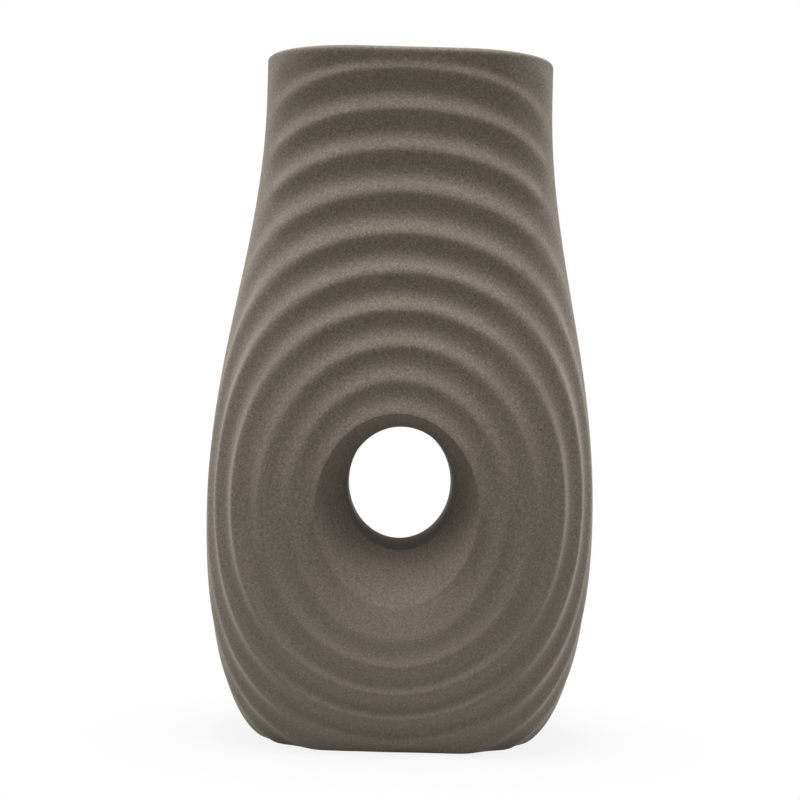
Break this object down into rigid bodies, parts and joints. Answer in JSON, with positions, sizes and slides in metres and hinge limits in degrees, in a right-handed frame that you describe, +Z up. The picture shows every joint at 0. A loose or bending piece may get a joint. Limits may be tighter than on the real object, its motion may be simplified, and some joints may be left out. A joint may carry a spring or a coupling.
{
  "type": "vase",
  "caption": "Tall rounded ceramic vase with an oval window right through its belly and ripples that spread from the window over the front and back.",
  "frame": {"origin": "centre of the vase on the surface that it stands on", "axes": "+Z up towards the mouth, -Y out of the front, the window looks along Y, +X to the right seen from the front"},
  "size_m": [0.152, 0.104, 0.27],
  "materials": {
    "fired_clay": "matte",
    "inside_glaze": "satin",
    "felt": "felt"
  },
  "bodies": {
    "root": {"front_shell": "fired_clay", "back_shell": "fired_clay", "tunnel_sleeve": "fired_clay", "floor_slab": "fired_clay", "liner_glaze": "inside_glaze", "felt_pad_front_left": "felt", "felt_pad_front_right": "felt", "felt_pad_back_left": "felt", "felt_pad_back_right": "felt"}
  },
  "joints": []
}
